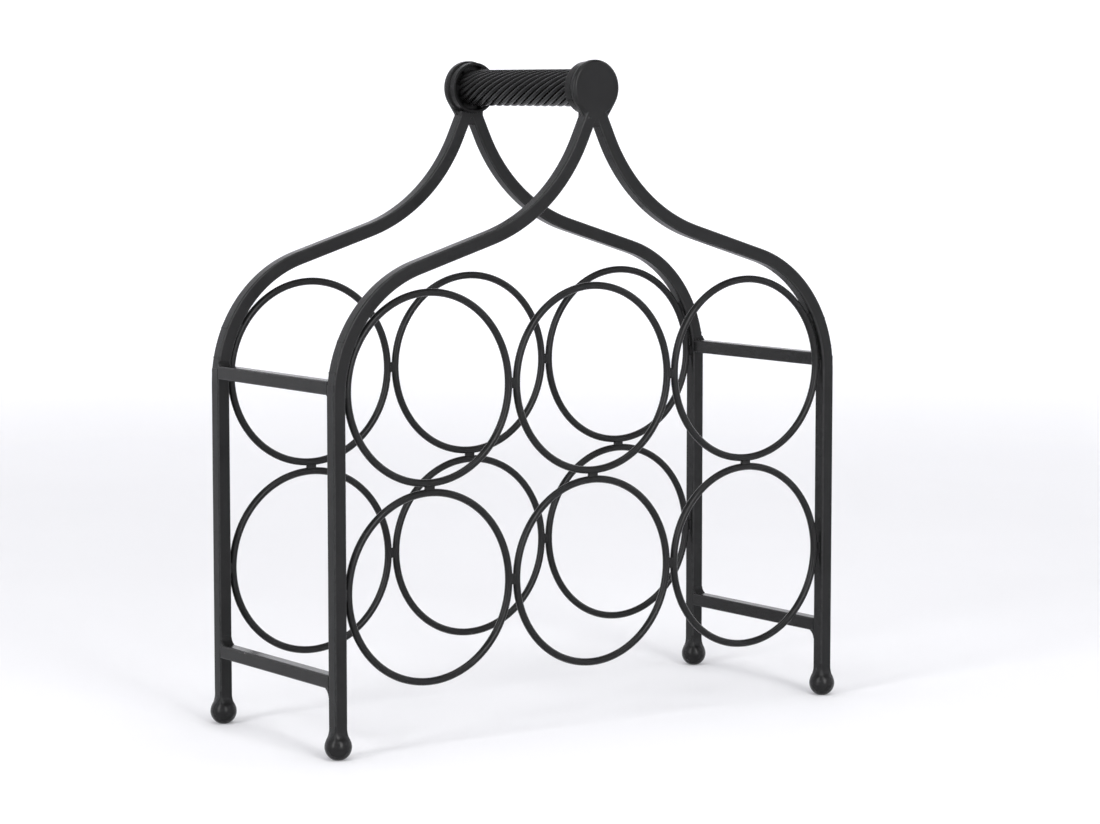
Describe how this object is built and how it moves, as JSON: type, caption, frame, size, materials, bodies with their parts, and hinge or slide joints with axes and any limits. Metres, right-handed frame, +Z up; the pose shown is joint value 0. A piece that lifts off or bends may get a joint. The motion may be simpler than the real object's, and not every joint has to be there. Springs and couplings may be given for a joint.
{
  "type": "wine rack",
  "caption": "Free-standing wine rack: arched frames of bent square bar on ball feet, with wire bottle rings, side crossbars and a twisted carrying handle.",
  "frame": {"origin": "on the floor, midway between the four feet", "axes": "+Z up; +X to the right seen from the side where the bottle necks come out; -Y towards that side"},
  "size_m": [0.3522, 0.141, 0.3765],
  "materials": {
    "black_coat": "satin black powder coat on steel",
    "grip_black": "matt black, moulded in twisted strands"
  },
  "bodies": {
    "root": {"front_left_bar": "black_coat", "front_right_bar": "black_coat", "rear_left_bar": "black_coat", "rear_right_bar": "black_coat", "front_left_foot": "black_coat", "front_right_foot": "black_coat", "rear_left_foot": "black_coat", "rear_right_foot": "black_coat", "front_lower_left_ring": "black_coat", "front_lower_middle_ring": "black_coat", "front_lower_right_ring": "black_coat", "front_upper_left_ring": "black_coat", "front_upper_middle_ring": "black_coat", "front_upper_right_ring": "black_coat", "rear_lower_left_ring": "black_coat", "rear_lower_middle_ring": "black_coat", "rear_lower_right_ring": "black_coat", "rear_upper_left_ring": "black_coat", "rear_upper_middle_ring": "black_coat", "rear_upper_right_ring": "black_coat", "lower_left_crossbar": "black_coat", "lower_right_crossbar": "black_coat", "upper_left_crossbar": "black_coat", "upper_right_crossbar": "black_coat", "front_end_disc": "black_coat", "rear_end_disc": "black_coat", "front_grip_cup": "grip_black", "rear_grip_cup": "grip_black", "handle_grip": "grip_black", "handle_core_rod": "black_coat"}
  },
  "joints": []
}
